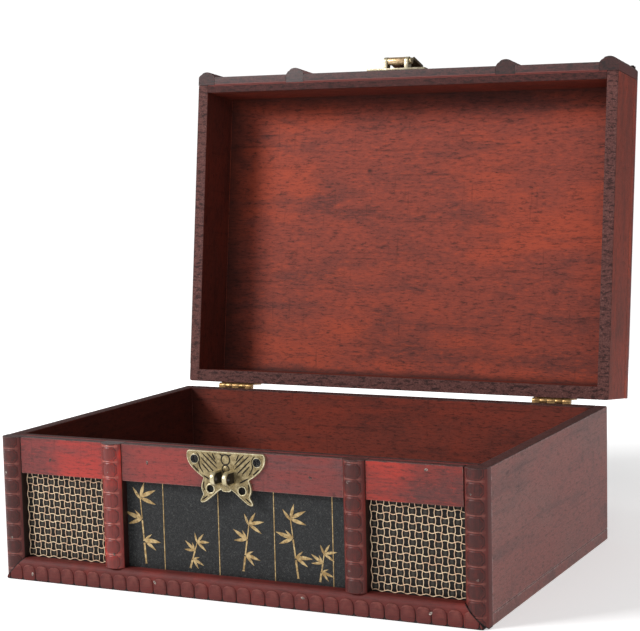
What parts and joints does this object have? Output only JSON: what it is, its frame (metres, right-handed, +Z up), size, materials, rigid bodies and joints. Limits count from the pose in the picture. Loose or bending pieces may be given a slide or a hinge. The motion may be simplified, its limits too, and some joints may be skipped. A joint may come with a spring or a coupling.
{
  "type": "keepsake box",
  "caption": "Wooden keepsake box with a hinged lid, a moulded and panelled front, and a butterfly latch plate with a swinging hasp for a padlock.",
  "frame": {"origin": "middle of the footprint on the underside of the bottom board, half-way from the face of the front rails to the back", "axes": "+Z up, the latched front faces -Y, +X to the right of someone who faces the front"},
  "size_m": [0.24, 0.2331, 0.2431],
  "materials": {
    "stained_wood": "mahogany stain, satin",
    "carved_wood": "dark red stain, worn",
    "woven_mesh": "woven strips on black",
    "black_leatherette": "fine grain",
    "antique_bronze": "aged, rubbed bright",
    "brass": "plain",
    "dark_steel": "blackened"
  },
  "bodies": {
    "body": {"body_back_board": "stained_wood", "body_front_board": "stained_wood", "body_left_board": "stained_wood", "body_right_board": "stained_wood", "bottom_board": "stained_wood", "butterfly_latch_plate": "antique_bronze", "front_bottom_moulding": "carved_wood", "front_centre_panel": "black_leatherette", "front_centre_rail": "stained_wood", "front_left_corner_moulding": "carved_wood", "front_left_rail": "stained_wood", "front_left_strip": "carved_wood", "front_left_woven_panel": "woven_mesh", "front_right_corner_moulding": "carved_wood", "front_right_rail": "stained_wood", "front_right_strip": "carved_wood", "front_right_woven_panel": "woven_mesh", "hinge_body_screws": "dark_steel", "latch_plate_screws": "dark_steel", "left_hinge_body_leaf": "brass", "left_hinge_pin": "brass", "right_hinge_body_leaf": "brass", "right_hinge_pin": "brass"},
    "lid": {"hasp_pin": "antique_bronze", "hasp_plate": "antique_bronze", "hasp_plate_screws": "dark_steel", "hinge_lid_screws": "dark_steel", "left_hinge_lid_leaf": "brass", "lid_back_board": "stained_wood", "lid_centre_panel": "black_leatherette", "lid_centre_rail": "stained_wood", "lid_front_board": "stained_wood", "lid_front_top_moulding": "carved_wood", "lid_left_board": "stained_wood", "lid_left_corner_moulding": "carved_wood", "lid_left_rail": "stained_wood", "lid_left_strip": "carved_wood", "lid_left_woven_panel": "woven_mesh", "lid_right_board": "stained_wood", "lid_right_corner_moulding": "carved_wood", "lid_right_rail": "stained_wood", "lid_right_strip": "carved_wood", "lid_right_woven_panel": "woven_mesh", "lid_top_board": "stained_wood", "right_hinge_lid_leaf": "brass", "top_back_moulding": "carved_wood", "top_centre_panel": "black_leatherette", "top_front_moulding": "carved_wood", "top_left_moulding": "carved_wood", "top_left_strip": "carved_wood", "top_left_woven_panel": "woven_mesh", "top_right_moulding": "carved_wood", "top_right_strip": "carved_wood", "top_right_woven_panel": "woven_mesh"},
    "hasp": {"hasp_flap": "antique_bronze"}
  },
  "joints": [
    {"name": "lid_hinge", "type": "hinge", "parent": "body", "child": "lid", "pos_m": [0, 0.0857, 0.0678], "axis": [1, 0, 0], "range_deg": [0, 97]},
    {"name": "hasp_hinge", "type": "hinge", "parent": "lid", "child": "hasp", "pos_m": [-0.0009, 0.10886, 0.24087], "axis": [1, 0, 0], "range_deg": [0, 192]}
  ]
}
